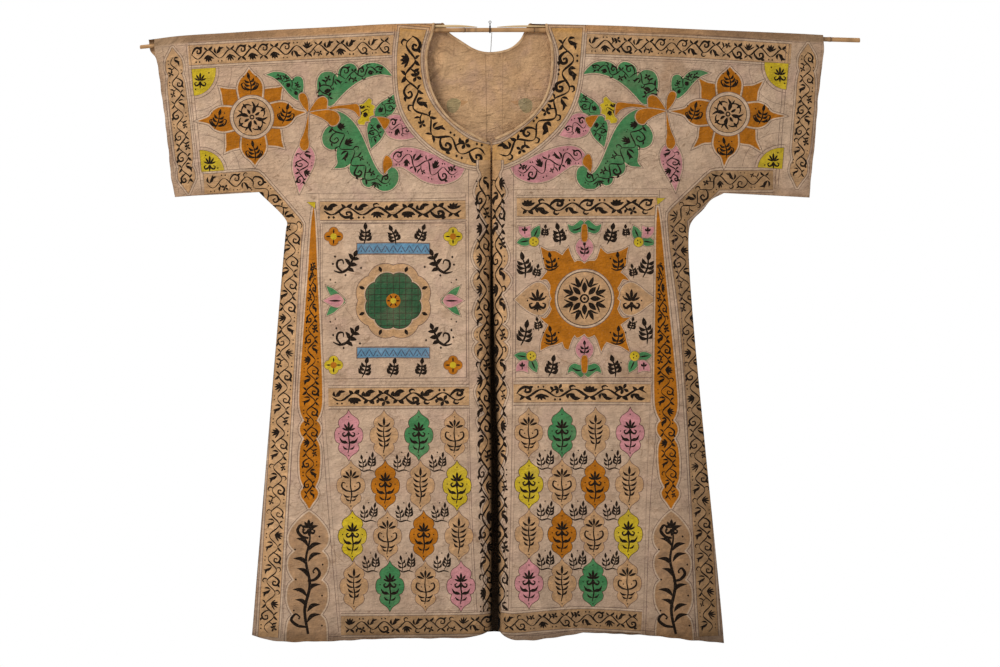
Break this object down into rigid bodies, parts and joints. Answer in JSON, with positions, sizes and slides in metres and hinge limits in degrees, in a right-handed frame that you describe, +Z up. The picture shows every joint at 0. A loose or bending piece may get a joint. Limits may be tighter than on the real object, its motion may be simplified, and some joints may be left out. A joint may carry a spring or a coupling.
{
  "type": "talismanic shirt on a hanging rod",
  "caption": "Open-fronted short-sleeved cotton talismanic shirt with painted ornament, spread on a thin bamboo rod and hung by a wire eye.",
  "frame": {"origin": "middle of the wire eye that the rod hangs from, in the plane between the front and the back of the shirt", "axes": "+Z up; +X along the rod towards the wearer's left sleeve; the front of the shirt looks along -Y"},
  "size_m": [1.008, 0.0725, 0.8717],
  "materials": {
    "cotton_front": "sized, burnished cotton with painted and inked ornament, matt",
    "cotton_back": "sized cotton, plain inside, painted outside, matt",
    "neck_edge": "rolled cotton edge, matt",
    "bamboo_rod": "aged bamboo, satin",
    "bamboo_slat": "pale split bamboo, matt",
    "wire": "dark annealed wire",
    "thread": "twisted cotton thread, matt"
  },
  "bodies": {
    "root": {"front_right": "cotton_front", "front_left": "cotton_front", "back": "cotton_back", "neck_edge_right": "neck_edge", "neck_edge_left": "neck_edge", "neck_edge_back": "neck_edge", "rod": "bamboo_rod", "slat_right": "bamboo_slat", "slat_left": "bamboo_slat", "hanging_eye": "wire", "tie_thread": "thread"}
  },
  "joints": []
}
